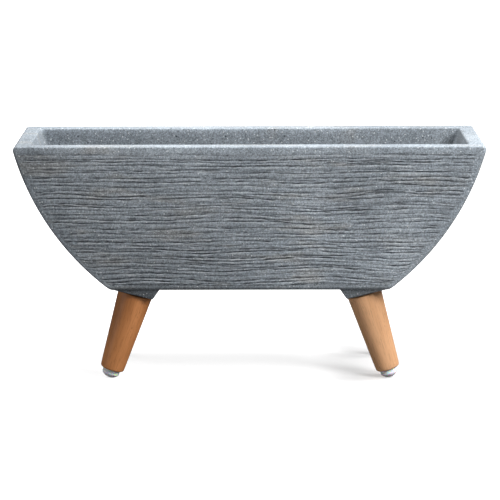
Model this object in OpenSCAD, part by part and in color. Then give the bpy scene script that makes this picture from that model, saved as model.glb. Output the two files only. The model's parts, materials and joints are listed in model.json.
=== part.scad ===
// Raised planter on legs: a cast fibre-clay trough on four splayed wooden legs that screw in.
// Millimetres. +Z up, +X along the trough, the front faces -Y. The origin is on the floor under the trough's centre.

/* [Trough] */
// Overall length, over the rim
length = 500; // [480:1:520]
// Overall depth, front face to back face
depth = 160; // [158:1:200]
// Height from the underside to the rim
trough_h = 155; // [149:1:159]
// Wall thickness
wall = 18; // [15:1:20]
// Floor thickness
floor_t = 22; // [20:1:26]
// Radius of the arc that shapes each end
end_r = 281.5; // [275:0.5:300]
// Height of that arc's centre above the rim
end_rise = 69.2; // [62:0.1:72]
// Radius between each end and the rim
rim_r = 4; // [2:0.5:6]
// Radius between the front or back face and the rim
lip_r = 1.5; // [0.5:0.5:4]
// Radius between each end and the underside
base_r = 5; // [3:0.5:10]
// Radius between the front or back face and the underside
foot_r = 5; // [2:0.5:6]

/* [Leg mounts] */
// Splay of the legs from the vertical, towards the ends
splay = 17.5; // [16:0.5:19]
// Distance from the middle of the trough to the leg's axis at its seat
leg_x = 122.5; // [119:0.5:126]
// Distance from the middle of the trough to the leg's axis, front to back
leg_y = 52; // [48:1:53]
// Depth of the boss's tip below the underside
boss_drop = 11.1; // [10.5:0.1:12]
// Width of the boss at the underside, front to back
boss_w = 48; // [44:1:50]
// Draft of the boss's front and back, from the vertical
boss_draft = 15; // [5:1:19]
// Distance from the boss's tip to the leg's axis, along the trough
boss_tip = 18.7; // [18:0.1:20]
// Length that the boss's inner flank takes to reach its tip
boss_flank = 7.5; // [6:0.5:12]
// Depth of the seat that is cut square to the leg, where its axis meets the boss
seat_cut = 0.6; // [0.6:0.1:1.2]
// Outer diameter of the threaded insert
insert_d = 12; // [11:0.5:13]
// Length of the threaded insert
insert_len = 18; // [16:1:20]

/* [Legs] */
// Length of a leg
leg_len = 88; // [80:1:110]
// Diameter of a leg at the top
leg_top_d = 38; // [34:1:40]
// Diameter of a leg at the bottom
leg_foot_d = 26; // [24:1:28]
// Chamfer at the top of a leg
leg_edge = 1.2; // [0.5:0.1:2]
// Chamfer at the bottom of a leg
leg_foot_edge = 1.8; // [0.5:0.1:3]
// Thickness of the washer between a leg and its boss
washer_t = 2; // [1.5:0.5:3]
// Outer diameter of the washer
washer_d = 24; // [20:1:28]
// Hanger bolt diameter
bolt_d = 8; // [6:1:8]
// Length of the bolt's end in the insert
bolt_up = 16; // [12:1:16]
// Length of the bolt's end in the leg
bolt_down = 27; // [22:1:34]

/* [Glides] */
// Diameter of a glide
glide_d = 18.6; // [17:0.1:21]
// Thickness of the glide's flat base
glide_base = 5; // [4:0.5:6]
// Height of the glide's dome
glide_dome = 4.8; // [4.5:0.1:6]
// Wear taken off the lowest point of the dome
glide_flat = 0.25; // [0.1:0.05:0.5]
// Diameter of the nail in the glide
nail_d = 2.5; // [2:0.1:3]
// Length of the nail in the leg
nail_len = 15; // [12:1:18]

/* [Drain] */
// Diameter of the drain hole
drain_d = 16; // [12:1:20]
// Diameter of the plug's head
plug_head_d = 27; // [24:1:30]
// Thickness of the plug's head
plug_head_t = 3; // [2:0.5:4]
// Diameter of the plug's finger grip
plug_grip_d = 11; // [9:1:12]
// Height of the plug's finger grip
plug_grip_h = 7; // [5:1:9]

/* [Hidden] */
// clearance between parts that stay still on each other
fit = 0.05;
// clearance around parts that turn past each other
turn_gap = 0.2;
// clearance of faces that press on each other
face_gap = 0.1;
// play around the washer in its seat
seat_play = 0.5;
// distance by which a cut runs past the face that it opens
past = 1;
// distance from the start of the end's lower corner to the outer end of each boss
boss_inset = 0.75;

// centre of the arc that shapes the right-hand end: x, and height above the underside
arc_x = length / 2 - rim_r - sqrt(pow(end_r - rim_r, 2) - pow(end_rise + rim_r, 2));
arc_rise = trough_h + end_rise;
// outer end of the right-hand bosses, just inside the lower corner, and the slope of their lower face
boss_end = arc_x + sqrt(pow(end_r - base_r, 2) - pow(arc_rise - base_r, 2)) - boss_inset;
boss_slope = atan(boss_drop / (boss_end - leg_x + boss_tip));

// half of the dome's sphere, and its centre's distance from the leg's foot along the axis
dome_r = (pow(glide_d / 2, 2) + pow(glide_dome, 2)) / (2 * glide_dome);
dome_centre = leg_len + glide_base + glide_dome - dome_r;
// height of the seat at the leg's axis, so that the worn domes stand on z = 0
seat_z = (washer_t + dome_centre) * cos(splay) + dome_r - glide_flat;
// depth of the seat below the underside at the leg's axis
seat_drop = boss_drop - boss_tip * tan(boss_slope) - seat_cut;
base_z = seat_z + seat_drop;
rim_z = base_z + trough_h;

arc_z = base_z + arc_rise;

pocket_d = insert_d + 2 * fit;
pocket_len = insert_len + 2;
tap_d = bolt_d + 2 * fit;

// side signs of the four legs, and the names that go with them
front_left = [-1, -1];
front_right = [1, -1];
back_left = [-1, 1];
back_right = [1, 1];

$fn = 96;

// moves children from the leg's own frame (+Z down the leg, 0 at its seat) to a corner
module at_leg(corner) {
    translate([corner[0] * leg_x, corner[1] * leg_y, seat_z])
        rotate([0, 180 - corner[0] * splay, 0])
            children();
}

// x of the centre of a corner radius r that is set into the right-hand end arc at height z
function corner_x(arc_r, z, r) = arc_x + sqrt(pow(arc_r - r, 2) - pow(z - arc_z, 2));

// height at which that corner radius meets the arc
function corner_join(arc_r, z, r) = arc_z + (z - arc_z) * arc_r / (arc_r - r);

// front view between two heights, with both ends on arcs of one radius
module between_arcs(arc_r, low_z, high_z) {
    intersection() {
        translate([arc_x, arc_z])
            circle(arc_r);
        translate([-arc_x, arc_z])
            circle(arc_r);
        translate([-length, low_z])
            square([2 * length, high_z - low_z]);
    }
}

// front view of the trough, with the outer corners of its rim and its underside rounded
module front_view() {
    low_x = corner_x(end_r, base_z + base_r, base_r);
    high_x = corner_x(end_r, rim_z - rim_r, rim_r);
    low_join = corner_join(end_r, base_z + base_r, base_r);
    high_join = corner_join(end_r, rim_z - rim_r, rim_r);
    between_arcs(end_r, low_join, high_join);
    translate([-low_x, base_z])
        square([2 * low_x, low_join - base_z]);
    translate([-high_x, high_join])
        square([2 * high_x, rim_z - high_join]);
    for (side = [-1, 1]) {
        translate([side * low_x, base_z + base_r])
            circle(base_r);
        translate([side * high_x, rim_z - rim_r])
            circle(rim_r);
    }
}

// end view of the trough, with the outer edges of its rim and its underside rounded
module end_view() {
    translate([-depth / 2, base_z + foot_r])
        square([depth, trough_h - foot_r - lip_r]);
    translate([-depth / 2 + lip_r, rim_z - lip_r])
        square([depth - 2 * lip_r, lip_r]);
    translate([-depth / 2 + foot_r, base_z])
        square([depth - 2 * foot_r, foot_r]);
    for (side = [-1, 1]) {
        translate([side * (depth / 2 - lip_r), rim_z - lip_r])
            circle(lip_r);
        translate([side * (depth / 2 - foot_r), base_z + foot_r])
            circle(foot_r);
    }
}

module along_y(width) {
    rotate([90, 0, 0])
        linear_extrude(width, center = true)
            children();
}

module along_x(width) {
    rotate([90, 0, 90])
        linear_extrude(width, center = true)
            children();
}

// wedge under one corner; its lower face climbs to the trough's end, and it runs up into the floor
module boss(corner) {
    tip_x = leg_x - boss_tip;
    root = floor_t / 2;
    half_top = boss_w / 2 + root * tan(boss_draft);
    half_tip = boss_w / 2 - boss_drop * tan(boss_draft);
    intersection() {
        along_y(2 * depth)
            polygon([
                [corner[0] * (tip_x - boss_flank), base_z + root],
                [corner[0] * (tip_x - boss_flank), base_z],
                [corner[0] * tip_x, base_z - boss_drop],
                [corner[0] * boss_end, base_z],
                [corner[0] * boss_end, base_z + root]
            ]);
        translate([0, corner[1] * leg_y, 0])
            along_x(2 * length)
                polygon([
                    [-half_top, base_z + root],
                    [-half_tip, base_z - boss_drop],
                    [half_tip, base_z - boss_drop],
                    [half_top, base_z + root]
                ]);
    }
}

module trough() {
    color([0.51, 0.53, 0.55])
        difference() {
            union() {
                intersection() {
                    along_y(depth)
                        front_view();
                    along_x(2 * length)
                        end_view();
                }
                for (corner = [front_left, front_right, back_left, back_right])
                    boss(corner);
            }
            along_y(depth - 2 * wall)
                between_arcs(end_r - wall, base_z + floor_t, rim_z + past);
            translate([0, 0, base_z - past])
                cylinder(h = floor_t + 2 * past, d = drain_d);
            for (corner = [front_left, front_right, back_left, back_right])
                at_leg(corner) {
                    cylinder(h = boss_drop, d = washer_d + 2 * seat_play);
                    translate([0, 0, -pocket_len])
                        cylinder(h = pocket_len + past, d = pocket_d);
                }
        }
}

// stopper with its head under the floor and a finger grip below the head
module drain_plug() {
    color([0.12, 0.12, 0.13]) {
        translate([0, 0, base_z - face_gap - plug_head_t]) {
            cylinder(h = plug_head_t, d = plug_head_d);
            cylinder(h = plug_head_t + face_gap + floor_t, d = drain_d - 2 * fit);
        }
        translate([0, 0, base_z - face_gap - plug_head_t - plug_grip_h])
            cylinder(h = plug_grip_h + plug_head_t / 2, d1 = plug_grip_d + 2, d2 = plug_grip_d);
    }
}

module threaded_insert(corner) {
    color([0.78, 0.62, 0.30])
        at_leg(corner)
            difference() {
                translate([0, 0, -insert_len])
                    cylinder(h = insert_len, d = insert_d);
                translate([0, 0, -insert_len - past])
                    cylinder(h = insert_len + 2 * past, d = tap_d);
            }
}

module washer(corner) {
    color([0.10, 0.10, 0.10])
        at_leg(corner)
            difference() {
                translate([0, 0, face_gap])
                    cylinder(h = washer_t - 2 * face_gap, d = washer_d);
                translate([0, 0, -past])
                    cylinder(h = washer_t + 2 * past, d = bolt_d + 2 * turn_gap);
            }
}

module leg(corner) {
    color([0.80, 0.61, 0.45])
        at_leg(corner)
            translate([0, 0, washer_t])
                difference() {
                    rotate_extrude()
                        polygon([
                            [0, 0],
                            [leg_top_d / 2 - leg_edge, 0],
                            [leg_top_d / 2, leg_edge],
                            [leg_foot_d / 2, leg_len - leg_foot_edge],
                            [leg_foot_d / 2 - leg_foot_edge, leg_len],
                            [0, leg_len]
                        ]);
                    translate([0, 0, -past])
                        cylinder(h = bolt_down + past + fit, d = bolt_d + 2 * fit);
                    translate([0, 0, leg_len - nail_len - fit])
                        cylinder(h = nail_len + past + fit, d = nail_d + 2 * fit);
                }
}

module hanger_bolt(corner) {
    color([0.72, 0.73, 0.75])
        at_leg(corner)
            translate([0, 0, -bolt_up])
                cylinder(h = bolt_up + washer_t + bolt_down, d = bolt_d);
}

// flat base against the end grain, then a dome worn flat where it meets the floor
module glide(corner) {
    color([0.90, 0.90, 0.88])
        difference() {
            at_leg(corner)
                translate([0, 0, washer_t])
                    difference() {
                        union() {
                            translate([0, 0, leg_len + fit])
                                cylinder(h = glide_base - fit, d = glide_d);
                            intersection() {
                                translate([0, 0, dome_centre])
                                    sphere(dome_r);
                                translate([0, 0, leg_len + glide_base])
                                    cylinder(h = glide_dome + past, d = glide_d + past);
                            }
                        }
                        translate([0, 0, leg_len - past])
                            cylinder(h = glide_base / 2 + past, d = nail_d + 2 * fit);
                    }
            translate([-length, -depth, -glide_d])
                cube([2 * length, 2 * depth, glide_d]);
        }
}

module glide_nail(corner) {
    color([0.62, 0.63, 0.65])
        at_leg(corner)
            translate([0, 0, washer_t + leg_len - nail_len])
                cylinder(h = nail_len + glide_base / 2 - fit, d = nail_d);
}

trough();
drain_plug();
threaded_insert(front_left);  // threaded_insert_front_left
threaded_insert(front_right);  // threaded_insert_front_right
threaded_insert(back_left);  // threaded_insert_back_left
threaded_insert(back_right);  // threaded_insert_back_right
washer(front_left);  // washer_front_left
washer(front_right);  // washer_front_right
washer(back_left);  // washer_back_left
washer(back_right);  // washer_back_right
leg(front_left);  // leg_front_left
leg(front_right);  // leg_front_right
leg(back_left);  // leg_back_left
leg(back_right);  // leg_back_right
hanger_bolt(front_left);  // hanger_bolt_front_left
hanger_bolt(front_right);  // hanger_bolt_front_right
hanger_bolt(back_left);  // hanger_bolt_back_left
hanger_bolt(back_right);  // hanger_bolt_back_right
glide(front_left);  // glide_front_left
glide(front_right);  // glide_front_right
glide(back_left);  // glide_back_left
glide(back_right);  // glide_back_right
glide_nail(front_left);  // glide_nail_front_left
glide_nail(front_right);  // glide_nail_front_right
glide_nail(back_left);  // glide_nail_back_left
glide_nail(back_right);  // glide_nail_back_right
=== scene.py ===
"""Raised planter on legs: the looks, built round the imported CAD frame.

Blender objects are in metres. Sizes, profiles and outlines are in millimetres until MM converts them.
"""

import json
import math

import bmesh
import bpy
import numpy as np
from mathutils import Matrix, Vector


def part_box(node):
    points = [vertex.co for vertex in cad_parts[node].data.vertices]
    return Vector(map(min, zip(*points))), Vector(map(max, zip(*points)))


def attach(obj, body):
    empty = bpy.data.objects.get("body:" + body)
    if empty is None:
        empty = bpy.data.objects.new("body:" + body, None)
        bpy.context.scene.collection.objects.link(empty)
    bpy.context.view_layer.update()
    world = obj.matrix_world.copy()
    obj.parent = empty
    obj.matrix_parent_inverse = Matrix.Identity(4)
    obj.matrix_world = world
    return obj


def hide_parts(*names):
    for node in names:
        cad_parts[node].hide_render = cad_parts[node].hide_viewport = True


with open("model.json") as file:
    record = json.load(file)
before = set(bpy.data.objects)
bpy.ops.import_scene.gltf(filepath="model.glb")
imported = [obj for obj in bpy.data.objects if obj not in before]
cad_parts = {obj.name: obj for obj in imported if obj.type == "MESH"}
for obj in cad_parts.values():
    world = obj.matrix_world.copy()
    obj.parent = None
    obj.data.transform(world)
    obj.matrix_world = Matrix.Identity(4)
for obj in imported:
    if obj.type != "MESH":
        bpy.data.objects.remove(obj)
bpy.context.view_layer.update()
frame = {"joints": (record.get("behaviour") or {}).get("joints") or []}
MM = 0.001

# -------------------------------------------------- sizes in millimetres, as the CAD has them
# Trough: outside, wall and floor, the arc of its ends, the radii of its edges, and its drain hole
LENGTH, DEPTH, HEIGHT = 500.0, 160.0, 155.0
WALL, FLOOR = 18.0, 22.0
END_R, END_RISE = 281.5, 69.2
RIM_END_R, BASE_R, RIM_R = 4.0, 5.0, 1.5
DRAIN_R = 8.0
# Wedge cast under each corner, and the seat and pocket cut into it
BOSS_INSET, BOSS_DROP, BOSS_W = 0.75, 11.1, 48.0
BOSS_TIP, BOSS_FLANK, BOSS_DRAFT = 18.7, 7.5, 15.0
POCKET_R, POCKET_LEN, SEAT_R = 6.05, 20.0, 12.5
# What each corner holds
LEG_LEN, LEG_TOP_R, LEG_FOOT_R = 88.0, 19.0, 13.0
WASHER_T, WASHER_R = 2.0, 12.0
BOLT_R, BOLT_UP, BOLT_DOWN, PITCH = 4.0, 16.0, 27.0, 1.25
INSERT_R, INSERT_LEN = 6.0, 18.0
GLIDE_R, GLIDE_BASE, GLIDE_DOME = 9.3, 5.0, 4.8
NAIL_R, NAIL_LEN = 1.25, 15.0

# Heights of the rim and the underside, the centre of the end arcs, and where the edge radii meet the arcs
RIM_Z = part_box("trough")[1].z / MM
BASE_Z = RIM_Z - HEIGHT
ARC_Z = RIM_Z + END_RISE
ARC_X = LENGTH / 2 - RIM_END_R - math.sqrt((END_R - RIM_END_R) ** 2 - (END_RISE + RIM_END_R) ** 2)
HIGH_X = ARC_X + math.sqrt((END_R - RIM_END_R) ** 2 - (END_RISE + RIM_END_R) ** 2)
LOW_X = ARC_X + math.sqrt((END_R - BASE_R) ** 2 - (BASE_Z + BASE_R - ARC_Z) ** 2)
HIGH_JOIN = ARC_Z - (END_RISE + RIM_END_R) * END_R / (END_R - RIM_END_R)
LOW_JOIN = ARC_Z + (BASE_Z + BASE_R - ARC_Z) * END_R / (END_R - BASE_R)

# -------------------------------------------------- sizes in millimetres that only the looks have
# Radii: the casting's upright edges, its inner lip, its inner corners and the fillet round its floor
EDGE_R, LIP_R, INNER_R, FILLET_R = 3.0, 1.8, 3.5, 7.0
# Angle in degrees above which two faces of the casting meet in a crease
CREASE = 48.0
# Brush lines: how many, the least space between two, and the band of wall that they cover
LINES, LEAST_GAP = 34, 1.5
GROOVE_LOW, GROOVE_HIGH, GROOVE_LIMIT = BASE_Z + 6.5, RIM_Z - 9.0, RIM_Z - 8.0
# How a line sways: waves shared by all lines, then its own long and short waves
SWAY_COUNT, SWAY, SWAY_ALONG, SWAY_ACROSS = 5, 0.6, (150, 420), (70, 200)
OWN_SWAY, OWN_LENGTHS, SHAKE, SHAKE_LENGTHS = 0.5, (60, 240), 0.13, (9, 34)
# Strokes along a line: length, gap (they can overlap), strength from 0 to 1, and how long they fade
STROKE_LEAD, STROKE_RUN, STROKE_GAP = 40, (30, 150), (-10, 13)
STROKE_STRENGTH, FADE_IN, FADE_OUT = (0.42, 1.0), 10, 14
# Short cross strokes between the lines: how many, length, strength, and how many lines they reach across
CROSS_PER_MM, CROSS_RUN, CROSS_STRENGTH, CROSS_REACH = 0.6, (12, 62), (0.25, 0.9), 2.2
CROSS_FADE_IN, CROSS_FADE_OUT = 6, 8
# The plain margin beside each upright edge
MARGIN, MARGIN_SPREAD, MARGIN_FADE = 3.2, 1.5, 3.6
# Grooves: depth, and how wide they are above and below a line; swell and roughness between the lines
GROOVE_DEPTH, WIDTH_ABOVE, WIDTH_BELOW, WIDTH_CROSS = 0.95, 0.55, 0.75, 0.55
SWELL, SINK, ROUGH = 0.2, 0.16, 0.1
# Painted highlights, pale bands beside each line where its lip would catch the light: how far from a line,
# and how wide
HIGHLIGHT_ABOVE, HIGHLIGHT_ABOVE_WIDTH, HIGHLIGHT_BELOW, HIGHLIGHT_BELOW_WIDTH = 1.5, 0.6, 1.2, 0.55

# -------------------------------------------------- colours and strengths of the looks
# Clay: its own tones, which stretch of the batch pattern it shows, and the painted shade that darkens it
# inside
CLAY_DARK, CLAY_LIGHT, CLAY_WARM = (0.195, 0.221, 0.246), (0.246, 0.275, 0.303), (0.24, 0.231, 0.212)
BATCH_SHIFT = (4.4, 1.0, 0.0)
INSIDE_SHADE = 0.86
# Fine brush marks, the painted highlights beside the grooves, and the painted shade in the grooves
BRUSH_PALE, BRUSH_DARK = (0.75, 0.77, 0.78), (0.07, 0.075, 0.085)
HIGHLIGHT_COLOUR, GROOVE_SHADE = (0.62, 0.645, 0.67), (0.025, 0.027, 0.031)
# Wood of a leg: pale tone, dark tone, and the painted light and shade on its right and its left side, seen
# from the front
WOOD_DEEP = ((0.545, 0.226, 0.081), (0.44, 0.171, 0.057), (1.03, 0.95))
WOOD_PALE = ((0.72, 0.404, 0.216), (0.615, 0.328, 0.163), (0.78, 1.18))
RAY_STRENGTH = 0.9
# The floor: what it sends back to the planter, its own tone, and its glow under the trough, by the right foot
# and far off
# Painted light: the glow is high under the trough and low by the right foot, to paint their shadows.
FLOOR_BOUNCE, FLOOR_SEEN, FLOOR_GLOW = (0.12, 0.12, 0.12), (0.4, 0.4, 0.402), (0.82, 0.48, 1.1)
# Where the glow changes, in metres: along X towards the right foot, and away from the middle
FOOT_GLOW_SPAN, FAR_GLOW_SPAN = (0.06, 0.12), (0.2, 0.35)
# The fill that the surroundings give to everything but the camera
WORLD_FILL = 0.13
# Each light: name, place, target and size in metres, and power in watts
LIGHTS = (
    ("key", (0.88, -0.8, 0.95), (0.08, 0, 0.18), 0.5, 25),
    ("top", (-0.45, 0.15, 1.9), (0, 0, 0), 1.7, 43),
    ("side", (1.0, 0.1, 1.5), (0.0, 0, 0.2), 0.6, 29),
    ("low", (-1.4, -0.6, 0.2), (0.1, 0, 0.08), 0.8, 3.5),
)
# Camera: place in metres, pitch and roll in degrees, and lens and sensor in millimetres
CAMERA_PLACE, CAMERA_PITCH, CAMERA_ROLL = (0.0003, -2.6005, RIM_Z * MM + 0.3728), -10.86, -0.12
CAMERA_LENS, SENSOR = 174.0, 36.0


# -------------------------------------------------- mesh helpers
def to_object(name, verts, faces, smooth_angle=40.0, attributes=()):
    """A mesh object from points in millimetres. attributes: name, kind and values of each."""
    mesh = bpy.data.meshes.new(name)
    mesh.from_pydata((np.asarray(verts, float) * MM).tolist(), [], faces)
    for key, kind, values in attributes:
        layer = mesh.attributes.new(key, kind, "POINT")
        field = "value" if kind == "FLOAT" else "vector"
        layer.data.foreach_set(field, np.asarray(values, np.float32).ravel())
    mesh.validate()
    mesh.update()
    finish_shading(mesh, smooth_angle)
    obj = bpy.data.objects.new(name, mesh)
    bpy.context.scene.collection.objects.link(obj)
    return obj


def finish_shading(mesh, smooth_angle):
    """Smooth faces, with a crease wherever two meet at more than the angle."""
    mesh.polygons.foreach_set("use_smooth", np.ones(len(mesh.polygons), bool))
    mesh.set_sharp_from_angle(angle=math.radians(smooth_angle))


def ring_faces(rows, columns, closed_rows=False):
    """Quads of a grid that is closed along its columns; seen from outside when rows go up a wall."""
    r = np.arange(rows if closed_rows else rows - 1)[:, None]
    c = np.arange(columns)[None, :]
    up, on = (r + 1) % rows, (c + 1) % columns
    quads = np.stack([r * columns + c, r * columns + on, up * columns + on, up * columns + c], -1)
    return quads.reshape(-1, 4).tolist()


def revolve(name, profile, segments=64, smooth_angle=40.0, wobble=None):
    """Turns a profile of (radius, height) round Z. A radius of 0 at either end closes it with a fan.
    wobble: what to add to the radius, from the angle and the height."""
    profile = list(profile)
    start = profile.pop(0) if profile[0][0] == 0 else None
    end = profile.pop() if profile[-1][0] == 0 else None
    r = np.array([p[0] for p in profile])[:, None]
    z = np.array([p[1] for p in profile])[:, None]
    a = np.linspace(0, 2 * math.pi, segments, endpoint=False)[None, :]
    radius = r + (wobble(a, z) if wobble else 0 * a)
    points = np.stack([radius * np.cos(a), radius * np.sin(a), z + 0 * a], -1).reshape(-1, 3)
    is_ring = start is None and end is None
    faces = ring_faces(len(profile), segments, is_ring)
    centres = []
    n = len(points)
    if start is not None:
        centres.append([0, 0, start[1]])
        faces += [[n, (k + 1) % segments, k] for k in range(segments)]
    if end is not None:
        last = (len(profile) - 1) * segments
        faces += [[n + len(centres), last + k, last + (k + 1) % segments] for k in range(segments)]
        centres.append([0, 0, end[1]])
    if centres:
        points = np.vstack([points, centres])
    obj = to_object(name, points, faces, smooth_angle, [("own_place", "FLOAT_VECTOR", points * MM)])
    face_outwards(obj.data)
    return obj


def face_outwards(mesh):
    """Turns every face of a closed mesh outwards."""
    bm = bmesh.new()
    bm.from_mesh(mesh)
    bmesh.ops.recalc_face_normals(bm, faces=bm.faces)
    bm.to_mesh(mesh)
    bm.free()


def arc(cx, cz, r, start, end, steps):
    """Points (x, z) on an arc; angles in degrees."""
    angles = [math.radians(start + (end - start) * i / steps) for i in range(steps + 1)]
    return [(cx + r * math.cos(a), cz + r * math.sin(a)) for a in angles]


def apply_boolean(target, cutter, operation):
    """Joins or cuts the target with another object, which is used up."""
    mod = target.modifiers.new("cut", "BOOLEAN")
    mod.operation, mod.object, mod.solver = operation, cutter, "EXACT"
    depsgraph = bpy.context.evaluated_depsgraph_get()
    done = bpy.data.meshes.new_from_object(target.evaluated_get(depsgraph))
    target.modifiers.clear()
    target.data = done
    bpy.data.objects.remove(cutter)


def smoothstep(t):
    """0 to 1, with a soft start and a soft end."""
    t = np.clip(t, 0, 1)
    return t * t * (3 - 2 * t)


def waves(rng, count, low, high):
    """A smooth random curve of unit spread, as a function of place. low, high: its wavelengths."""
    length = np.exp(rng.uniform(math.log(low), math.log(high), count))
    phase = rng.uniform(0, 2 * math.pi, count)
    spread = math.sqrt(count / 2)
    return lambda x: sum(np.sin(2 * math.pi * x / l + p) for l, p in zip(length, phase)) / spread


# -------------------------------------------------- the cast trough: one loop of points round it
# Spaces between points along a long side, a short side and a corner
LONG, SHORT, CORNER = 146, 34, 4
FRONT, RIGHT, BACK, LEFT, AT_CORNER = range(5)


def loop_pattern():
    """The points of a loop, counterclockwise from the front left as seen from above, and the side of each.
    A point is its x and y place, from -1 to 1, and its direction from the corner's centre."""
    long_side = np.linspace(-1, 1, LONG + 1)
    short_side = np.linspace(-1, 1, SHORT + 1)
    sides = (
        (FRONT, -90, [(s, -1) for s in long_side], (1, -1)),
        (RIGHT, 0, [(1, s) for s in short_side], (1, 1)),
        (BACK, 90, [(s, 1) for s in -long_side], (-1, 1)),
        (LEFT, 180, [(-1, s) for s in -short_side], (-1, -1)),
    )
    points, owner = [], []
    for side, angle, places, corner in sides:
        a = math.radians(angle)
        for place in places:
            points.append((*place, round(math.cos(a), 9), round(math.sin(a), 9)))
            owner.append(side)
        for i in range(1, CORNER):
            b = math.radians(angle + 90 * i / CORNER)
            points.append((*corner, math.cos(b), math.sin(b)))
            owner.append(AT_CORNER)
    return np.array(points), np.array(owner)


PATTERN, OWNER = loop_pattern()
COLUMNS = len(PATTERN)
FLAT = (OWNER == FRONT) | (OWNER == BACK)
ENDS = (OWNER == RIGHT) | (OWNER == LEFT)


def loop(x_half, y_half, radius, z):
    """Rounded rectangle; every argument is a number or one value for each column."""
    x = PATTERN[:, 0] * (x_half - radius) + radius * PATTERN[:, 2]
    y = PATTERN[:, 1] * (y_half - radius) + radius * PATTERN[:, 3]
    return np.stack([x, y, z + 0 * x], -1)


def half_length(z):
    """Half the trough's length at a height: the arc of its ends, rounded at the rim and at the base."""
    z = np.asarray(z, float)
    body = ARC_X + np.sqrt(END_R**2 - (ARC_Z - z) ** 2)
    high = HIGH_X + np.sqrt(np.maximum(RIM_END_R**2 - (z - (RIM_Z - RIM_END_R)) ** 2, 0))
    low = LOW_X + np.sqrt(np.maximum(BASE_R**2 - (z - (BASE_Z + BASE_R)) ** 2, 0))
    return np.where(z > HIGH_JOIN, high, np.where(z < LOW_JOIN, low, body))


def half_depth(z):
    """Half the trough's depth at a height: flat faces, rounded at the rim and at the base."""
    z = np.asarray(z, float)
    high = DEPTH / 2 - RIM_R + np.sqrt(np.maximum(RIM_R**2 - np.maximum(z - (RIM_Z - RIM_R), 0) ** 2, 0))
    low = DEPTH / 2 - BASE_R + np.sqrt(np.maximum(BASE_R**2 - np.maximum(BASE_Z + BASE_R - z, 0) ** 2, 0))
    return np.minimum(high, low)


def inner_half_length(z):
    """Half the cavity's length at a height."""
    return float(ARC_X + np.sqrt((END_R - WALL) ** 2 - (ARC_Z - z) ** 2))


def wall_normals(x_half, z):
    """Outward direction at each column: level on the front and back, square to the arc on the ends."""
    normals = np.zeros((COLUMNS, 3))
    normals[FLAT, 1] = PATTERN[FLAT, 1]
    normals[ENDS, 0] = (np.sign(PATTERN[:, 0]) * (x_half - ARC_X) / END_R)[ENDS]
    normals[ENDS, 2] = ((z - ARC_Z) / END_R)[ENDS]
    return normals


# -------------------------------------------------- the cast trough: its brushed walls
def line_heights():
    """Where the brush lines meet the corners: unevenly spaced."""
    gaps = np.random.default_rng(3).uniform(0.5, 1.5, LINES - 1)
    return GROOVE_LOW + (GROOVE_HIGH - GROOVE_LOW) * np.concatenate([[0.0], np.cumsum(gaps) / gaps.sum()])


HEIGHTS = line_heights()
# Rows of points from one line to the next, as shares of the space between them
STEPS = (0.0, 0.13, 0.32, 0.52, 0.71, 0.88)


def shared_sway(rng, x):
    """Long slanting waves that all the lines of a face follow."""
    sway = np.zeros_like(x)
    for _ in range(SWAY_COUNT):
        along, across = rng.uniform(*SWAY_ALONG), rng.uniform(*SWAY_ACROSS) * rng.choice([-1, 1])
        phase = rng.uniform(0, 2 * math.pi)
        sway += SWAY * np.sin(2 * math.pi * (x / along + HEIGHTS[:, None] / across) + phase)
    return sway


def stroke_depth(rng, x, half):
    """How deep one line is along its length: strokes that fade in and out, pressed unevenly."""
    depth = np.zeros_like(x)
    start = -half - rng.uniform(0, STROKE_LEAD)
    while start < half:
        run, gap = rng.uniform(*STROKE_RUN), rng.uniform(*STROKE_GAP)
        t = (x - start) / run
        fade = smoothstep(t * run / FADE_IN) * smoothstep((1 - t) * run / FADE_OUT)
        depth = np.maximum(depth, rng.uniform(*STROKE_STRENGTH) * fade)
        start += run + gap
    return depth * (0.84 + 0.26 * waves(rng, 8, 6, 45)(x))


def cross_strokes(rng, half):
    """Short strokes between the lines: where each starts, its length, line, drift and strength."""
    longest = CROSS_RUN[1]
    strokes = []
    for _ in range(int(half[-1] * CROSS_PER_MM)):
        line = rng.uniform(0.5, LINES - 2.5)
        run = rng.uniform(*CROSS_RUN)
        at = rng.uniform(-half[int(line)], half[int(line)])
        strokes.append((at, run, line, rng.uniform(-1, 1) * run / longest, rng.uniform(*CROSS_STRENGTH)))
    return strokes


def brushed_face(rng, place, half):
    """Brush lines on one face. place: -1 to 1 along it; half: half its length at each line.
    Returns the shift and depth of each line, where the face is brushed, and the cross strokes."""
    x = half[:, None] * place[None, :]
    shift = shared_sway(rng, x)
    depth = np.zeros_like(x)
    for i in range(LINES):
        own_sway, shake = waves(rng, 5, *OWN_LENGTHS), waves(rng, 6, *SHAKE_LENGTHS)
        shift[i] += OWN_SWAY * own_sway(x[i]) + SHAKE * shake(x[i])
        depth[i] = stroke_depth(rng, x[i], half[i])
    margin = MARGIN + MARGIN_SPREAD * np.array([waves(rng, 3, 12, 50)(h) for h in HEIGHTS])[:, None]
    to_edge = half[:, None] - np.abs(x)
    brushed = smoothstep((to_edge - margin) / MARGIN_FADE)
    shift *= smoothstep((to_edge - 2.0) / 9.0)
    shift[0] *= 0.5
    depth[-1] *= 0.7
    return shift, np.clip(depth, 0, 1.1) * brushed, brushed, cross_strokes(rng, half)


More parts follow.
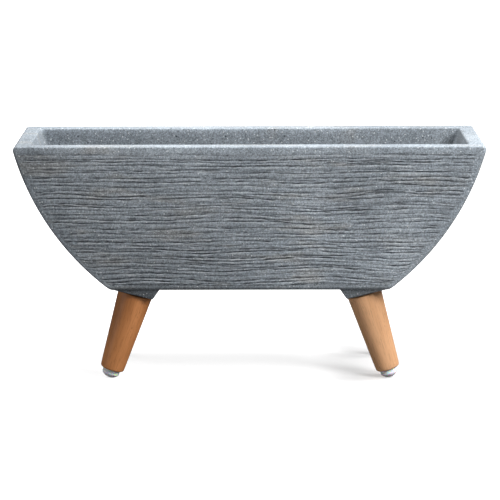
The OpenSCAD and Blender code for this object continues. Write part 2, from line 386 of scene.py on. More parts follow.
def brush_faces(rng):
    """Heights and depths of the lines all round, where they are brushed, and each face's cross strokes."""
    shift, depth, brushed = (np.zeros((LINES, COLUMNS)) for _ in range(3))
    strokes = {}
    for side in (FRONT, RIGHT, BACK, LEFT):
        columns = np.nonzero(OWNER == side)[0]
        is_long = side in (FRONT, BACK)
        half = half_length(HEIGHTS) if is_long else np.full(LINES, DEPTH / 2)
        face = brushed_face(rng, PATTERN[columns, 0 if is_long else 1], half)
        shift[:, columns], depth[:, columns], brushed[:, columns], strokes[side] = face
    lines = HEIGHTS[:, None] + shift
    for i in range(1, LINES):
        lines[i] = np.maximum(lines[i], lines[i - 1] + LEAST_GAP)
    lines[-1] = np.minimum(lines[-1], GROOVE_LIMIT)
    for i in reversed(range(LINES - 1)):
        lines[i] = np.minimum(lines[i], lines[i + 1] - LEAST_GAP)
    return lines, depth, brushed, strokes


def cross_depth(strokes, i, t, along, gap):
    """Depth of the cross strokes along the row that is a share t of the way from line i to the next."""
    depth = np.zeros(COLUMNS)
    for side, side_strokes in strokes.items():
        on = OWNER == side
        for at, run, line, drift, strength in side_strokes:
            if abs(line - i) > CROSS_REACH:
                continue
            u = (along[on] - at) / run
            away = np.abs(i + t - (line + drift * u)) * gap[on]
            fade_in = smoothstep(np.clip(u, 0, 1) * run / CROSS_FADE_IN)
            fade_out = smoothstep(np.clip(1 - u, 0, 1) * run / CROSS_FADE_OUT)
            stroke = strength * fade_in * fade_out * np.exp(-((away / WIDTH_CROSS) ** 1.5))
            depth[on] = np.maximum(depth[on], stroke)
    return depth


def wall_rows(rng):
    """The brushed part of the outer wall, row by row: points, and the values of the point attributes."""
    lines, depth, brushed, strokes = brush_faces(rng)
    rough = [waves(rng, 7, 3.5, 30) for _ in range(LINES * len(STEPS))]
    steps = [(i, t) for i in range(LINES - 1) for t in STEPS] + [(LINES - 2, 1.0)]
    for n, (i, t) in enumerate(steps):
        z = lines[i] * (1 - t) + lines[i + 1] * t
        gap = lines[i + 1] - lines[i]
        mask = brushed[i] * (1 - t) + brushed[i + 1] * t
        above, below = t * gap, (1 - t) * gap
        x_half, y_half = half_length(z), half_depth(z)
        along = np.where(OWNER % 2 == 0, PATTERN[:, 0] * x_half, PATTERN[:, 1] * y_half)
        groove_above = depth[i] * np.exp(-((above / WIDTH_ABOVE) ** 1.4))
        groove_below = depth[i + 1] * np.exp(-((below / WIDTH_BELOW) ** 1.4))
        crossing = cross_depth(strokes, i, t, along, gap) * mask
        groove = np.maximum(np.maximum(groove_above, groove_below), crossing)
        swell = 1 - 4 * t * (1 - t)
        inward = GROOVE_DEPTH * groove + mask * np.maximum(SWELL * swell + SINK + ROUGH * rough[n](along), 0)
        # Painted highlight: how much paler the colour is beside each line.
        highlight_above = depth[i] * np.exp(-(((above - HIGHLIGHT_ABOVE) / HIGHLIGHT_ABOVE_WIDTH) ** 2))
        highlight_below = depth[i + 1] * np.exp(-(((below - HIGHLIGHT_BELOW) / HIGHLIGHT_BELOW_WIDTH) ** 2))
        ridge = np.maximum(0.6 * highlight_above, highlight_below) * (0.6 + 0.4 * rough[n](along * 0.6))
        yield {
            "points": loop(x_half, y_half, EDGE_R, z) - wall_normals(x_half, z) * inward[:, None],
            "groove": np.clip(groove, 0, 1),
            "ridge": ridge,
            "brushed": mask,
            "brush_place": brush_place(along, z),
        }


def brush_place(along, z):
    """Places on the walls laid out flat, with the four sides kept apart, for the material's brush marks."""
    arc_length = END_R * np.arcsin(np.clip((ARC_Z - z) / END_R, -1, 1))
    side_shift = 37.0
    return np.stack([along, np.where(FLAT, z, -arc_length), OWNER * side_shift], -1)


# -------------------------------------------------- the cast trough: its whole surface
class Skin:
    """A closed surface made of rows of points, each of which runs round the trough."""

    FLOATS = ("groove", "ridge", "brushed", "inside")

    def __init__(self):
        self.rows = []

    def add(self, points, inside=0.0, brush_place=None, **values):
        """One row, with the value of each point attribute."""
        row = {"points": points, "brush_place": points if brush_place is None else brush_place}
        for key in self.FLOATS:
            row[key] = values.get(key, 0.0) + np.zeros(COLUMNS)
        row["inside"] += inside
        self.rows.append(row)

    def outside(self, z):
        """A plain row of the outer wall."""
        self.add(loop(half_length(z), half_depth(z), EDGE_R, z))

    def cavity(self, z, out=0.0, radius=INNER_R, inside=0.0):
        """A row of the cavity's wall. out: how far it lies outside the wall's face."""
        self.add(loop(inner_half_length(z) + out, DEPTH / 2 - WALL + out, radius, z), inside)

    def hole(self, radius, z, shares=(1.0,)):
        """Rows from the last one to a circle round the drain hole's axis."""
        outer = self.rows[-1]["points"]
        angle = np.arctan2(outer[:, 1] / np.ptp(outer[:, 1]), outer[:, 0] / np.ptp(outer[:, 0]))
        ring = np.stack([radius * np.cos(angle), radius * np.sin(angle), np.full(COLUMNS, z)], -1)
        for share in shares:
            self.add(outer * (1 - share) + ring * share, 1.0)

    def column(self, key):
        return np.concatenate([row[key] for row in self.rows])

    def to_object(self, name, smooth_angle):
        points = self.column("points")
        attributes = [("own_place", "FLOAT_VECTOR", points * MM)]
        attributes += [(key, "FLOAT", self.column(key)) for key in self.FLOATS]
        attributes += [("brush_place", "FLOAT_VECTOR", self.column("brush_place") * MM)]
        return to_object(name, points, ring_faces(len(self.rows), COLUMNS, True), smooth_angle, attributes)


def make_trough():
    """Up the outside, over the rim, down the inside, across the floor, down the hole and back underneath."""
    skin = Skin()
    for deg in (0, 18, 36, 54, 72, 90):
        skin.outside(BASE_Z + BASE_R * (1 - math.cos(math.radians(deg))))
    for row in wall_rows(np.random.default_rng(11)):
        skin.add(**row)
    for below_rim in (7.5, 5.5, 4.0):
        skin.outside(RIM_Z - below_rim)
    for deg in (0, 20, 40, 58, 74, 90):
        skin.outside(RIM_Z - RIM_R * (1 - math.sin(math.radians(deg))))
    skin.cavity(RIM_Z, 7.0, EDGE_R)
    for deg in (0, 25, 50, 70, 90):
        a = math.radians(deg)
        skin.cavity(RIM_Z - LIP_R * (1 - math.cos(a)), LIP_R * (1 - math.sin(a)))
    floor_z = BASE_Z + FLOOR
    for z in np.linspace(RIM_Z - 6, floor_z + FILLET_R, 8):
        skin.cavity(z, inside=1.0)
    # The fillet is narrower at the ends, where the wall already leans out.
    end_share, corner_share = 0.35, 0.5
    for deg in (20, 40, 60, 75, 90):
        z = floor_z + FILLET_R * (1 - math.sin(math.radians(deg)))
        back = FILLET_R * (1 - math.cos(math.radians(deg)))
        x_half, y_half = inner_half_length(z) - end_share * back, DEPTH / 2 - WALL - back
        skin.add(loop(x_half, y_half, INNER_R + corner_share * back, z), 1.0)
    skin.hole(DRAIN_R + 1.2, floor_z, (0.1, 0.3, 0.5, 0.68, 0.83, 0.93, 1.0))
    skin.hole(DRAIN_R + 0.3, floor_z - 0.5)
    for z in (floor_z - 1.4, floor_z - 11, BASE_Z + 1.4):
        skin.hole(DRAIN_R, z)
    skin.hole(DRAIN_R + 0.3, BASE_Z + 0.4)
    skin.hole(DRAIN_R + 1.0, BASE_Z)
    ring, edge = skin.rows[-1]["points"], skin.rows[0]["points"]
    for share in (0.07, 0.17, 0.32, 0.5, 0.7, 0.9):
        skin.add(ring * (1 - share) + edge * share)
    return skin.to_object("cast_trough", CREASE)


def make_boss(side_x, seat):
    """The wedge cast under one corner, with its edges rounded. It runs up into the floor."""
    tip_x = seat.x * side_x / MM - BOSS_TIP
    outer_x = LOW_X - BOSS_INSET
    root_z, under_z, tip_z = BASE_Z + FLOOR / 2, BASE_Z + 0.01, BASE_Z - BOSS_DROP
    outline = [
        (tip_x - BOSS_FLANK, root_z), (tip_x - BOSS_FLANK, under_z), (tip_x, tip_z),
        (outer_x, under_z), (outer_x, root_z)]
    bm = bmesh.new()
    front, back = [], []
    for x, z in outline:
        half = BOSS_W / 2 + (z - BASE_Z) * math.tan(math.radians(BOSS_DRAFT))
        for face, y in ((front, seat.y / MM - half), (back, seat.y / MM + half)):
            face.append(bm.verts.new((side_x * x * MM, y * MM, z * MM)))
    bm.faces.new(front)
    bm.faces.new(list(reversed(back)))
    for i in range(len(outline)):
        j = (i + 1) % len(outline)
        bm.faces.new([front[j], front[i], back[i], back[j]])
    bmesh.ops.recalc_face_normals(bm, faces=bm.faces)
    low = (BASE_Z - 0.5) * MM
    edges = [e for e in bm.edges if min(v.co.z for v in e.verts) < low]
    bmesh.ops.bevel(bm, geom=edges, offset=1.3 * MM, segments=4, profile=0.5, affect="EDGES")
    mesh = bpy.data.meshes.new("boss")
    bm.to_mesh(mesh)
    bm.free()
    obj = bpy.data.objects.new("boss", mesh)
    bpy.context.scene.collection.objects.link(obj)
    return obj


def leg_places():
    """For each corner, the seat's centre and the frame of its leg: Z runs down the leg, Y to the back."""
    places = {}
    for joint in frame["joints"]:
        if joint["name"].startswith("turn_"):
            seat, axis = Vector(joint["pos_m"]), Vector(joint["axis"]).normalized()
            back = Vector((0, 1, 0))
            place = Matrix((back.cross(axis).normalized(), back, axis)).transposed().to_4x4()
            place.translation = seat
            places[joint["name"].removeprefix("turn_")] = (seat, place)
    return places


CORNERS = leg_places()


def seat_cutter(place):
    """What is cut from a boss: the flat seat and the pocket of the insert, with a small lead-in."""
    lead = 0.6
    profile = [(0, -POCKET_LEN), (POCKET_R, -POCKET_LEN), (POCKET_R, -lead), (POCKET_R + lead, 0)]
    profile += [(SEAT_R, 0), (SEAT_R, BOSS_DROP), (0, BOSS_DROP)]
    cutter = revolve("seat_cutter", profile, 72)
    cutter.data.transform(place)
    return cutter


def make_whole_trough():
    """The trough with its four bosses, seats and pockets."""
    trough = make_trough()
    for seat, place in CORNERS.values():
        apply_boolean(trough, make_boss(math.copysign(1, seat.x), seat), "UNION")
    for seat, place in CORNERS.values():
        apply_boolean(trough, seat_cutter(place), "DIFFERENCE")
    finish_shading(trough.data, CREASE)
    return trough


# -------------------------------------------------- turned, threaded and moulded parts
# Profiles are (radius, height), with the height measured down the leg from its seat.
def thread(minor, major, pitch):
    """Radius of a right-hand thread at an angle and height."""
    def radius(a, z):
        turn = np.mod(z / pitch - a / (2 * math.pi), 1.0)
        return minor + (major - minor) * np.clip(1.35 * (1 - np.abs(2 * turn - 1)) - 0.12, 0, 1)
    return radius


def make_bolt(name):
    """Hanger bolt: machine thread up to the shoulder, then a wood screw that ends in a point."""
    machine, wood = thread(3.35, BOLT_R - 0.03, PITCH), thread(2.75, BOLT_R - 0.05, 3.2)
    top, shoulder, bottom = -BOLT_UP, WASHER_T + 1.2, WASHER_T + BOLT_DOWN
    shank_r, shank, nose, point = 3.7, 2.5, 1.4, 7.0
    heights = list(np.arange(top, shoulder, PITCH / 7)) + list(np.linspace(shoulder, shoulder + shank, 4))
    heights += list(np.arange(shoulder + 2.9, bottom, 0.4)) + [bottom]

    def radius(a, z):
        below = np.where(z < shoulder + 2.6, shank_r + 0 * a, wood(a, z))
        r = np.where(z < shoulder, machine(a, z), below)
        nose_r = 2.9 + 1.2 * np.clip((z - top) / nose, 0, 1)
        return np.minimum(r, nose_r) * np.clip((bottom - z) / point, 0.06, 1)

    profile = [(0, top)] + [(1e-9, z) for z in heights] + [(0, bottom)]
    return revolve(name, profile, 36, 60, radius)


def make_insert(name):
    """Brass insert: knurled outside, threaded bore with a countersunk mouth."""
    inner = thread(3.43, BOLT_R + 0.05, PITCH)
    knurl_low, knurl_high, knurl_depth, knurls = -15.5, -1.2, 0.16, 24
    mouth, mouth_depth = 0.9, 1.1
    outside = [-INSERT_LEN + 0.5, -INSERT_LEN + 1.0] + list(np.linspace(-15, -1.4, 12)) + [-0.9, -0.4]
    bore = list(np.arange(0, -INSERT_LEN, -PITCH / 6))
    profile = [(INSERT_R - 0.5, -INSERT_LEN)] + [(INSERT_R, z) for z in outside] + [(INSERT_R - 0.4, 0)]
    first = len(profile)
    profile += [(1e-9, z) for z in bore] + [(1e-9, -INSERT_LEN)]

    def shape(a, z):
        out = np.zeros((len(z), a.shape[1]))
        knurled = (z[:first] < knurl_high) & (z[:first] > knurl_low)
        out[:first] = knurl_depth * (np.cos(a * knurls) - 1) * knurled
        flare = np.clip(1 + z[first:] / mouth_depth, 0, 1)
        out[first:] = np.maximum(inner(a, z[first:]), BOLT_R * flare + mouth * flare)
        return out

    return revolve(name, profile, 72, 35, shape)


def make_washer(name):
    """Rubber washer: round edges and a shallow groove in each face."""
    outer, bore, half = WASHER_R - 0.05, 4.25, 0.88
    edge, bore_edge, groove = 0.45, 0.25, 0.12
    mid = WASHER_T / 2
    low, high = mid - half, mid + half
    profile = arc(outer - edge, high - edge, edge, 90, 0, 4) + arc(outer - edge, low + edge, edge, 0, -90, 4)
    profile += [(9.6, low), (9.2, low + groove), (6.8, low + groove), (6.4, low)]
    profile += arc(bore + bore_edge, low + bore_edge, bore_edge, 270, 180, 3)
    profile += arc(bore + bore_edge, high - bore_edge, bore_edge, 180, 90, 3)
    profile += [(6.4, high), (6.8, high - groove), (9.2, high - groove), (9.6, high)]
    return revolve(name, profile, 72, 50)


def make_leg(name, rng):
    """Tapered leg, turned on a lathe: soft edges, faint tool marks, and bores for the bolt and the nail."""
    top, foot = WASHER_T, WASHER_T + LEG_LEN
    slope = math.degrees(math.atan((LEG_TOP_R - LEG_FOOT_R) / LEG_LEN))
    edge, foot_edge = 1.5, 2.3
    bolt_bore, nail_bore, end = 4.05, 1.35, top + BOLT_DOWN
    profile = [(0, end + 1), (bolt_bore, end - 1), (bolt_bore, top + 14), (bolt_bore, top + 0.5)]
    profile += [(bolt_bore + 0.45, top), (8, top), (13, top)]
    profile += arc(LEG_TOP_R - edge, top + edge, edge, -90, -slope, 6)
    count = 46
    for i in range(1, count):
        z = top + edge + (LEG_LEN - edge - foot_edge) * i / count
        profile.append((LEG_TOP_R + (LEG_FOOT_R - LEG_TOP_R) * (z - top) / LEG_LEN, z))
    profile += arc(LEG_FOOT_R - foot_edge, foot - foot_edge, foot_edge, -slope, 90, 7)
    profile += [(8, foot), (4, foot), (nail_bore, foot), (nail_bore, foot - 7), (nail_bore, foot - NAIL_LEN)]
    profile += [(0, foot - NAIL_LEN - 0.3)]
    phase = rng.uniform(0, 2 * math.pi, 3)
    radii = np.array([r for r, _ in profile[1:-1]])[:, None]

    def tool_marks(a, z):
        """Everything is turned a little under size, so that the marks stay inside the CAD's surface."""
        outside = (z > top + 1.0) & (z < foot - 1.0) & (radii > 11)
        fine = 0.035 * np.sin(z * 2 * math.pi / 3.1 + phase[0])
        broad = 0.03 * np.sin(z * 2 * math.pi / 7.7 + phase[1])
        oval = 0.03 * np.sin(2 * a + phase[2])
        return outside * (fine + broad + oval - 0.07)

    return revolve(name, profile, 80, 45, tool_marks)


def make_glide(name, place):
    """Nylon glide: a short cylinder and a dome, worn flat where it meets the floor."""
    base = WASHER_T + LEG_LEN + 0.05
    lip = base + GLIDE_BASE - 0.05
    dome_r = (GLIDE_R**2 + GLIDE_DOME**2) / (2 * GLIDE_DOME)
    centre = lip + GLIDE_DOME - dome_r
    edge, nail_hole, recess = 0.7, 1.32, 2.5
    first = math.degrees(math.acos((GLIDE_R - 0.15) / dome_r))
    profile = [(0, base + recess), (nail_hole, base + recess), (nail_hole, base), (4, base)]
    profile += arc(GLIDE_R - edge, base + edge, edge, -90, 0, 4)
    profile += [(GLIDE_R, base + 2.4), (GLIDE_R, lip - 0.5), (GLIDE_R - 0.05, lip - 0.1)]
    profile += arc(0, centre, dome_r, first + 1.5, 89, 16) + [(0, lip + GLIDE_DOME)]
    obj = revolve(name, profile, 64, 40)
    back = place.inverted()
    for v in obj.data.vertices:
        p = place @ v.co
        if p.z < 0:
            p.z = 0.0
            v.co = back @ p
    return obj


def make_nail(name):
    """Ring nail: a point, five rings and a small head inside the glide."""
    foot = WASHER_T + LEG_LEN
    tip = foot - NAIL_LEN
    shank, root = NAIL_R - 0.06, NAIL_R - 0.16
    profile = [(0, tip), (0.35, tip + 0.9), (shank, tip + 3.2)]
    for k in range(5):
        z = tip + 5 + k * 1.6
        profile += [(shank, z), (root, z + 0.4), (shank, z + 0.8)]
    profile += [(shank, foot), (NAIL_R, foot + 1.2), (NAIL_R, foot + 2.2)]
    profile += [(NAIL_R - 0.2, foot + 2.4), (0, foot + 2.4)]
    return revolve(name, profile, 28, 40)


def make_stopper(name):
    """Drain plug: stem with two sealing ribs, a thin head under the floor and a waisted finger grip."""
    box_low, box_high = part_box("drain_plug")
    top, low = box_high.z / MM, box_low.z / MM
    head_top = low + 10.0
    rib, stem, head = DRAIN_R - 0.12, DRAIN_R - 0.37, 13.5
    profile = [(0, top - 0.3), (3, top - 0.25), (5.5, top), (rib - 0.9, top), (rib - 0.3, top - 0.35)]
    for z in (top - 5.0, top - 13.0):
        profile += [(stem, z + 1.4), (rib, z + 0.7), (rib, z - 0.7), (stem, z - 1.4)]
    profile += [(stem, head_top + 1.5), (rib, head_top + 0.3), (rib + 0.3, head_top)]
    profile += arc(head - 0.8, head_top - 0.8, 0.8, 90, 0, 4)
    profile += arc(head - 1.2, head_top - 1.8, 1.2, 0, -80, 5)
    profile += [(9.0, head_top - 2.85), (6.6, head_top - 3.1), (5.6, head_top - 4.0), (5.3, head_top - 5.2)]
    profile += arc(6.0, low + 1.6, 0.65, 60, -80, 6) + [(3.0, low), (0, low)]
    return revolve(name, profile, 72, 50)


# -------------------------------------------------- materials
class Paint:
    """A material's node tree, with short ways to add nodes to it."""

    def __init__(self, name):
        self.material = bpy.data.materials.new(name)
        self.material.use_nodes = True
        self.tree = self.material.node_tree
        self.shader = self.tree.nodes["Principled BSDF"]

    def link(self, value, socket):
        """Joins a socket to another one, or sets it to a plain value."""
        if isinstance(value, bpy.types.NodeSocket):
            self.tree.links.new(value, socket)
        else:
            socket.default_value = value

    def node(self, kind, inputs=(), output=0, **props):
        made = self.tree.nodes.new(kind)
        for key, value in props.items():
            setattr(made, key, value)
        for key, value in dict(inputs).items():
            self.link(value, made.inputs[key])
        return made.outputs[output]

    def attribute(self, name, output="Fac"):
        return self.node("ShaderNodeAttribute", output=output, attribute_name=name)

    def place(self, source=None, scale=(1, 1, 1), shift=(0, 0, 0)):
        """Scaled and shifted coordinates: the piece's own place, unless another source is given."""
        source = source or self.attribute("own_place", "Vector")
        return self.node("ShaderNodeMapping", {"Vector": source, "Scale": scale, "Location": shift})

    def part_of(self, vector, axis):
        """One number of a vector: axis 0, 1 or 2."""
        return self.node("ShaderNodeSeparateXYZ", {0: vector}, axis)

    def noise(self, vector, scale, detail=3.0, rough=0.55, warp=0.0):
        return self.node("ShaderNodeTexNoise", {
            "Vector": vector, "Scale": scale, "Detail": detail, "Roughness": rough, "Distortion": warp})

    def cells(self, vector, scale, output="Distance"):
        return self.node("ShaderNodeTexVoronoi", {"Vector": vector, "Scale": scale}, output)

    def span(self, value, low, high, to_low=0.0, to_high=1.0, smooth=True):
        """The value carried over from one range to another, and clamped to it."""
        return self.node("ShaderNodeMapRange", {
            "Value": value, "From Min": low, "From Max": high, "To Min": to_low, "To Max": to_high},
            interpolation_type="SMOOTHSTEP" if smooth else "LINEAR")

    def math(self, operation, a, b=0.0):
        return self.node("ShaderNodeMath", {0: a, 1: b}, operation=operation)

    def times(self, a, b):
        return self.math("MULTIPLY", a, b)

    def mix(self, factor, a, b, blend="MIX"):
        made = self.tree.nodes.new("ShaderNodeMix")
        made.data_type, made.blend_type = "RGBA", blend
        self.link(factor, made.inputs["Factor"])
        self.link(self.colour(a), made.inputs["A"])
        self.link(self.colour(b), made.inputs["B"])
        return made.outputs["Result"]

    @staticmethod
    def colour(value):
        return (*value, 1.0) if isinstance(value, tuple) and len(value) == 3 else value

    def bump(self, height, distance, strength=1.0, normal=None):
        inputs = {"Height": height, "Distance": distance, "Strength": strength}
        if normal is not None:
            inputs["Normal"] = normal
        return self.node("ShaderNodeBump", inputs, "Normal")

    def surface(self, **inputs):
        """Sets the shader's inputs, whose names are written with _ for a space."""
        for key, value in inputs.items():
            self.link(self.colour(value), self.shader.inputs[key.replace("_", " ")])
        return self.material


def shades(colour, factor):
    return tuple(c * factor for c in colour)


def clay_tones(p, base, here):
    """Broad tones: painted shade at the base, painted light near the rim, wear and a painted highlight on it,
    painted shade inside, uneven from end to end.
    """
    height = p.part_of(here, 2)
    # Painted shade: darker towards the base and on the bosses below it, where less light reaches.
    painted_base_shade = p.span(height, (BASE_Z - 4) * MM, (BASE_Z + 7) * MM, 0.72, 1.0)
    # Painted light: the plain band under the rim made lighter, as the light from above falls on it.
    painted_top_light = p.span(height, (RIM_Z - 10) * MM, (RIM_Z - 7) * MM, 1.0, 1.12)
    # The rim's top made lighter: partly wear, partly a painted highlight of the light from above.
    worn = p.span(height, (RIM_Z - 2.2) * MM, (RIM_Z - 1.0) * MM, 1.0, 1.06)
    batch = p.span(p.noise(p.place(here, shift=BATCH_SHIFT), 4.0, 2.0, 0.5), 0.35, 0.65, 0.83, 1.13)
    # Painted shade: the cavity's walls and floor made darker than the outside.
    batch = p.mix(p.attribute("inside"), batch, shades((1.0, 1.0, 1.0), INSIDE_SHADE))
    for tone in (painted_base_shade, painted_top_light, worn, batch):
        base = p.mix(1.0, base, tone, "MULTIPLY")
    return base


def clay_flecks(p, base, here):
    """Pale and dark flecks of the filler: fineness, share left plain, colour, strength and width of each."""
    kinds = (
        (300.0, 0.55, (0.9, 0.92, 0.93), 0.5, 0.25),
        (170.0, 0.75, (0.95, 0.96, 0.97), 0.6, 0.16),
        (110.0, 0.66, (0.02, 0.022, 0.026), 0.9, 0.13),
        (420.0, 0.7, (0.06, 0.065, 0.07), 0.6, 0.22),
    )
    for size, plain, colour, strength, width in kinds:
        spots = p.place(here, shift=(plain, size * 0.01, 0.3))
        fleck = p.times(p.span(p.cells(spots, size), width, width * 0.5),
                        p.span(p.cells(spots, size, "Color"), plain, plain + 0.03))
        base = p.mix(p.times(fleck, strength), base, colour)
    return base


def clay():
    """Fibre clay: blue-grey, gritty, with fine brush marks along the walls, painted highlights beside the
    grooves and painted shade in them.
    """
    p = Paint("fibre_clay")
    here = p.node("ShaderNodeTexCoord", output="Object")
    brush = p.attribute("brush_place", "Vector")
    brushed = p.attribute("brushed")
    streak = p.noise(p.place(brush, (26, 560, 9)), 1.0, 5.0, 0.62, warp=0.3)
    hair = p.noise(p.place(brush, (80, 1500, 9), (3, 1, 2)), 1.0, 3.0, 0.6)
    cloud = p.noise(here, 11.0, 4.0, 0.6)
    warm = p.noise(p.place(brush, (14, 60, 9), (0.7, 0.3, 0.9)), 1.0, 4.0, 0.6)
    mottle = p.noise(here, 170.0, 3.0, 0.65)
    sand = p.noise(here, 560.0, 2.0, 0.75)
    grain = p.noise(here, 1150.0, 2.0, 0.7)
    base = p.mix(p.span(cloud, 0.35, 0.68), CLAY_DARK, CLAY_LIGHT)
    base = p.mix(p.times(p.span(warm, 0.5, 0.7), 0.45), base, CLAY_WARM)
    base = clay_tones(p, base, here)
    for value, low, high, least, most in (
            (mottle, 0.32, 0.68, 0.88, 1.1), (sand, 0.3, 0.7, 0.52, 1.46), (grain, 0.32, 0.68, 0.72, 1.28)):
        base = p.mix(1.0, base, p.span(value, low, high, least, most, False), "MULTIPLY")
    base = clay_flecks(p, base, here)
    base = p.mix(p.times(p.times(p.span(streak, 0.5, 0.7), brushed), 0.2), base, BRUSH_PALE)
    base = p.mix(p.times(p.times(p.span(streak, 0.47, 0.3), brushed), 0.5), base, BRUSH_DARK)
    # Painted highlight beside the grooves.
    base = p.mix(p.span(p.attribute("ridge"), 0.1, 0.9, 0.0, 0.34), base, HIGHLIGHT_COLOUR)
    # Painted shade: the grooves darkened towards black, where little light reaches into them.
    base = p.mix(p.span(p.attribute("groove"), 0.1, 0.8, 0.0, 0.88), base, GROOVE_SHADE)
    fine = p.bump(p.math("ADD", sand, p.times(mottle, 0.8)), 0.0004, 0.6)
    lines = p.times(p.math("ADD", streak, p.times(hair, 0.45)), brushed)
    return p.surface(
        Base_Color=base, Roughness=p.span(grain, 0.3, 0.7, 0.78, 0.95),
        Normal=p.bump(lines, 0.0012, 0.8, fine), Specular_IOR_Level=0.28)


def beech(name, wood, seed):
    """Straight-grained beech: fibres along the leg, soft growth bands and short dark ray flecks.
    wood: pale tone, dark tone, and the painted light and shade on each side. seed: which stretch of grain."""
    light, dark, sides = wood
    p = Paint(name)
    here = p.place(shift=(seed, seed * 0.37, seed * 0.11))
    long_grain = p.place(scale=(1, 1, 0.06), shift=(seed, 0.0, seed * 0.5))
    band = p.noise(long_grain, 75.0, 3.0, 0.5, warp=0.6)
    fibre = p.noise(p.place(scale=(1, 1, 0.025), shift=(0.0, seed, 0.0)), 900.0, 4.0, 0.65)
    cloud = p.noise(here, 22.0, 2.0, 0.5)
    base = p.mix(p.span(band, 0.32, 0.68), dark, light)
    base = p.mix(p.span(cloud, 0.4, 0.7, 0.0, 0.3), base, shades(light, 1.12))
    base = p.mix(p.span(fibre, 0.54, 0.3, 0.0, 0.5), base, shades(dark, 0.62))
    spot = p.place(scale=(1, 1, 0.3), shift=(seed * 0.2, 0.0, 0.0))
    patchy = p.span(p.noise(long_grain, 60.0, 2.0, 0.5), 0.45, 0.6)
    size = 420.0
    ray = p.times(p.span(p.cells(spot, size), 0.26, 0.1), p.span(p.cells(spot, size, "Color"), 0.5, 0.56))
    ray = p.times(ray, p.math("ADD", p.times(patchy, 0.8), 0.2))
    base = p.mix(p.times(ray, RAY_STRENGTH), base, shades(dark, 0.35))
    reach = 0.017
    # Painted light and shade: the colour made lighter on one side of the leg and darker on the other.
    base = p.mix(1.0, base, p.span(p.part_of(p.place(), 0), -reach, reach, *sides), "MULTIPLY")
    return p.surface(
        Base_Color=base, Roughness=p.span(fibre, 0.3, 0.7, 0.5, 0.36),
        Normal=p.bump(fibre, 0.00008, 0.5, p.bump(ray, -0.0001, 0.5)),
        Specular_IOR_Level=0.3, Coat_Weight=0.06, Coat_Roughness=0.35)


def rubber(name, tone):
    """Dark rubber with dust in patches. tone: its brightness."""
    p = Paint(name)
    here = p.place()
    dust, grain = p.noise(here, 160.0, 4.0, 0.6), p.noise(here, 1400.0, 2.0, 0.6)
    base = p.mix(p.span(dust, 0.5, 0.8, 0.0, 0.35), shades((1.0, 1.0, 1.05), tone), (0.16, 0.155, 0.15))
    return p.surface(
        Base_Color=base, Roughness=p.span(dust, 0.3, 0.7, 0.55, 0.8), Normal=p.bump(grain, 0.00006, 0.5),
        Specular_IOR_Level=0.4)


def metal(name, colour, worn, rough_low, rough_high):
    """Metal in two tones, with fine scratches round the piece."""
    p = Paint(name)
    cloud = p.noise(p.place(), 120.0, 4.0, 0.6)
    scratch = p.noise(p.place(scale=(1, 1, 0.15)), 900.0, 3.0, 0.6)
    return p.surface(
        Base_Color=p.mix(p.span(cloud, 0.4, 0.72), colour, worn), Metallic=1.0,
        Roughness=p.span(scratch, 0.3, 0.7, rough_low, rough_high), Normal=p.bump(scratch, 0.00003, 0.5))


def nylon(name):
    """Pale moulded nylon, scuffed in places."""
    p = Paint(name)
    here = p.place()
    cloud, grain = p.noise(here, 90.0, 3.0, 0.5), p.noise(here, 1100.0, 2.0, 0.6)
    scuff = p.noise(p.place(scale=(1, 0.2, 1)), 700.0, 3.0, 0.6)
    base = p.mix(p.span(cloud, 0.35, 0.7), (0.9, 0.89, 0.93), (0.95, 0.945, 0.965))
    base = p.mix(p.span(scuff, 0.62, 0.8, 0.0, 0.3), base, (0.55, 0.54, 0.56))
    return p.surface(
        Base_Color=base, Roughness=p.span(grain, 0.3, 0.7, 0.3, 0.45), Normal=p.bump(grain, 0.00004, 0.4),
        Subsurface_Weight=0.45, Subsurface_Scale=0.006)


# -------------------------------------------------- build and dress the pieces
def keep(obj, material, body, slot, node):
    """Dresses a piece, makes it ride on its body and stand for its CAD node."""
    obj.data.materials.clear()
    obj.data.materials.append(material)
    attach(obj, body)
    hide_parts(node)


def build():
    keep(make_whole_trough(), clay(), "trough", "fibre_clay", "trough")
    keep(make_stopper("drain_stopper"), rubber("plug_rubber", 0.05), "plug", "plug_rubber", "drain_plug")
    black = rubber("washer_rubber", 0.022)
    brass = metal("insert_brass", (0.62, 0.44, 0.17), (0.42, 0.28, 0.12), 0.28, 0.5)
    zinc = metal("zinc_steel", (0.56, 0.58, 0.61), (0.42, 0.43, 0.46), 0.3, 0.48)
    steel = metal("nail_steel", (0.42, 0.43, 0.45), (0.3, 0.3, 0.31), 0.35, 0.55)
    white = nylon("nylon")
    rng = np.random.default_rng(5)
    for i, (name, (_, place)) in enumerate(CORNERS.items()):
        deep = name in ("front_left", "back_right")
        wood = beech("beech_" + name, WOOD_DEEP if deep else WOOD_PALE, 1.7 * i + 0.4)
        leg, spacer = "leg_" + name, "spacer_" + name
        parts = [
            (make_leg("turned_leg_" + name, rng), wood, leg, "beech", "leg_"),
            (make_bolt("threaded_bolt_" + name), zinc, leg, "zinc_steel", "hanger_bolt_"),
            (make_glide("nylon_glide_" + name, place), white, leg, "nylon", "glide_"),
            (make_nail("ring_nail_" + name), steel, leg, "nail_steel", "glide_nail_"),
            (make_washer("rubber_washer_" + name), black, spacer, "washer_rubber", "washer_"),
            (make_insert("brass_insert_" + name), brass, "trough", "insert_brass", "threaded_insert_"),
        ]
        for obj, paint, body, slot, node in parts:
            obj.data.transform(place)
            keep(obj, paint, body, slot, node + name)


build()


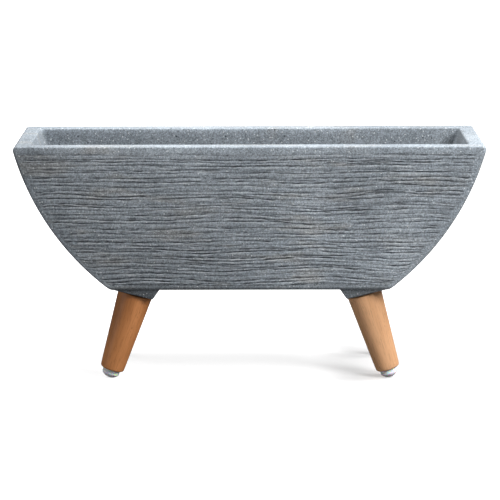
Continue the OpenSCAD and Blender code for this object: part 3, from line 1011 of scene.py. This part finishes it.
# -------------------------------------------------- studio
def make_floor():
    """A round pale floor that is clear from below. Its glow whitens it for the camera but lights nothing."""
    radius, points = 14.0, 96
    angles = np.linspace(0, 2 * math.pi, points, endpoint=False)
    edge = [(radius * math.cos(a), radius * math.sin(a), 0) for a in angles]
    mesh = bpy.data.meshes.new("studio_floor")
    mesh.from_pydata(edge, [], [list(range(points))])
    obj = bpy.data.objects.new("studio_floor", mesh)
    bpy.context.scene.collection.objects.link(obj)
    p = Paint("studio_floor")
    p.surface(Roughness=0.4, Specular_IOR_Level=0.3, Emission_Color=(1.0, 1.0, 1.0))
    seen = p.node("ShaderNodeLightPath", output="Is Camera Ray")
    p.surface(Base_Color=p.mix(seen, FLOOR_BOUNCE, FLOOR_SEEN))
    here = p.node("ShaderNodeTexCoord", output="Object")
    away = p.node("ShaderNodeVectorMath", {0: here}, 1, operation="LENGTH")
    # Painted shadows: less glow by the right foot darkens its shadow, more under the trough fades the
    # trough's.
    under_trough, right_foot, far = FLOOR_GLOW
    near_glow = p.span(p.part_of(here, 0), *FOOT_GLOW_SPAN, under_trough, right_foot)
    glow = p.math("ADD", near_glow, p.span(away, *FAR_GLOW_SPAN, 0.0, far - right_foot))
    p.surface(Emission_Strength=p.times(glow, seen))
    clear = p.node("ShaderNodeBsdfTransparent")
    under = p.node("ShaderNodeNewGeometry", output="Backfacing")
    both = p.node("ShaderNodeMixShader", {0: under, 1: p.shader.outputs[0], 2: clear})
    p.link(both, p.tree.nodes["Material Output"].inputs["Surface"])
    mesh.materials.append(p.material)


def area_light(name, where, target, size, watts):
    data = bpy.data.lights.new(name, "AREA")
    data.energy, data.shape = watts, "RECTANGLE"
    data.size = data.size_y = size
    obj = bpy.data.objects.new(name, data)
    obj.location = where
    obj.rotation_euler = (Vector(target) - Vector(where)).to_track_quat("-Z", "Y").to_euler()
    bpy.context.scene.collection.objects.link(obj)


def make_world():
    """White for the camera, and a weak even fill for everything else."""
    world = bpy.data.worlds.new("studio")
    world.use_nodes = True
    tree = world.node_tree
    back = tree.nodes["Background"]
    seen = tree.nodes.new("ShaderNodeLightPath")
    share = tree.nodes.new("ShaderNodeMapRange")
    share.inputs["To Min"].default_value, share.inputs["To Max"].default_value = WORLD_FILL, 1.0
    tree.links.new(seen.outputs["Is Camera Ray"], share.inputs["Value"])
    tree.links.new(share.outputs["Result"], back.inputs["Strength"])
    back.inputs["Color"].default_value = (1, 1, 1, 1)
    bpy.context.scene.world = world


def make_camera():
    data = bpy.data.cameras.new("camera")
    data.lens, data.sensor_width = CAMERA_LENS, SENSOR
    data.clip_start, data.clip_end = 0.05, 60
    cam = bpy.data.objects.new("camera", data)
    pitch = Matrix.Rotation(math.radians(90 + CAMERA_PITCH), 4, "X")
    roll = Matrix.Rotation(math.radians(CAMERA_ROLL), 4, "Z")
    cam.matrix_world = Matrix.Translation(CAMERA_PLACE) @ pitch @ roll
    bpy.context.scene.collection.objects.link(cam)
    bpy.context.scene.camera = cam


make_floor()
make_world()
for light in LIGHTS:
    area_light(*light)
make_camera()
bpy.context.scene.view_settings.view_transform = "Standard"
